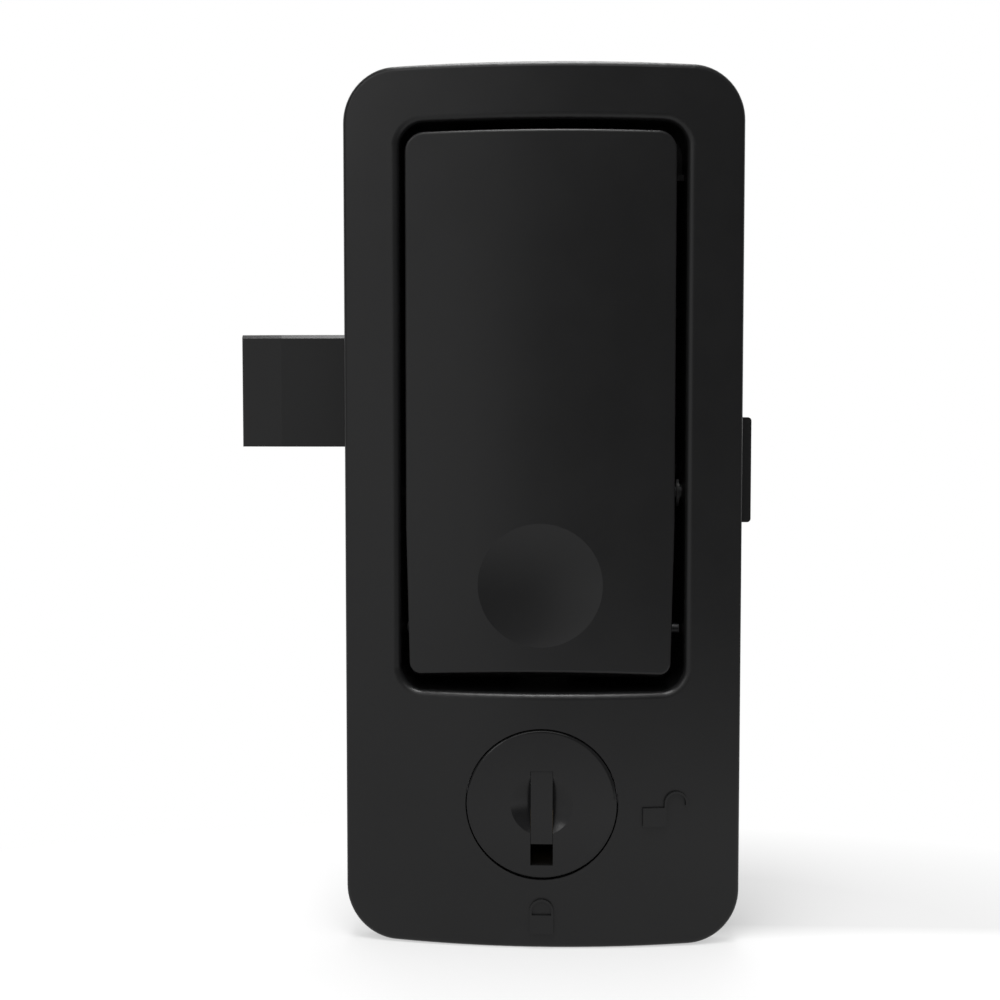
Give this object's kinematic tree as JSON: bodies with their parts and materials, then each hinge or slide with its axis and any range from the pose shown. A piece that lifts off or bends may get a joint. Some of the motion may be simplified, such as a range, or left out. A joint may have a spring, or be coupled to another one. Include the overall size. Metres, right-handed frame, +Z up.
{
  "type": "push-to-close slide latch",
  "caption": "Flush panel latch with a rocking paddle that draws in a spring-loaded side bolt, a key lock below it, and a rear strap that clamps it in the door.",
  "frame": {"origin": "middle of the front flange, on the plane where its back meets the door panel", "axes": "+X to the right seen from the front, +Y into the door, +Z up; the bolt points to -X"},
  "size_m": [0.0714, 0.0373, 0.1168],
  "materials": {
    "housing_plastic": "fine satin moulded",
    "paddle_plastic": "fine satin moulded",
    "bolt_plastic": "satin moulded",
    "lock_face": "satin black",
    "lock_zinc": "cast and plated",
    "wafer_brass": "stamped or turned",
    "ground_steel": "ground and blackened",
    "spring_wire": "drawn wire, oil blackened",
    "plated_screws": "zinc plated",
    "black_steel": "black coated",
    "dark_acetal": "moulded",
    "bumper_rubber": "soft"
  },
  "bodies": {
    "root": {"housing": "housing_plastic", "pivot_pin": "ground_steel", "pivot_spacer": "dark_acetal", "paddle_spring": "spring_wire", "paddle_bumpers": "bumper_rubber", "bolt_bushing": "dark_acetal", "guide_rods": "ground_steel", "bolt_springs": "spring_wire", "lock_barrel": "lock_zinc", "barrel_clip": "spring_wire", "rear_cover": "housing_plastic", "cover_screws": "plated_screws", "clamp_inserts": "wafer_brass", "clamp_bracket": "black_steel", "clamp_screws": "plated_screws"},
    "paddle": {"paddle": "paddle_plastic", "drive_pin": "ground_steel", "drive_arm": "lock_zinc"},
    "bolt": {"bolt": "bolt_plastic", "slide_carriage": "bolt_plastic", "bolt_screws": "plated_screws"},
    "plug": {"lock_plug": "lock_face", "lock_wafers": "wafer_brass", "shutter_pin": "ground_steel", "lock_tongue": "lock_zinc", "tongue_washer": "plated_screws", "tongue_screw": "plated_screws"},
    "shutter": {"key_shutter": "lock_face"}
  },
  "joints": [
    {"name": "paddle_pivot", "type": "hinge", "parent": "root", "child": "paddle", "pos_m": [0, 0.004, 0.0021], "axis": [1, 0, 0], "range_deg": [0, 30], "stiffness_Nm_per_rad": 0.298, "springref_deg": -21.43, "deforming": ["paddle_spring"]},
    {"name": "bolt_slide", "type": "slide", "parent": "root", "child": "bolt", "axis": [1, 0, 0], "range_m": [0, 0.0125], "deforming": ["bolt_springs"]},
    {"name": "plug_turn", "type": "hinge", "parent": "root", "child": "plug", "pos_m": [0, 0, -0.039], "axis": [0, -1, 0], "range_deg": [0, 90]},
    {"name": "shutter_swing", "type": "hinge", "parent": "plug", "child": "shutter", "pos_m": [0, -0.00465, -0.0356], "axis": [1, 0, 0], "range_deg": [0, 70], "stiffness_Nm_per_rad": 0.0002, "springref_deg": -28.65}
  ],
  "couplings": [
    {"joint": "bolt_slide", "follows": "paddle_pivot", "m_per_rad": 0.023873}
  ]
}
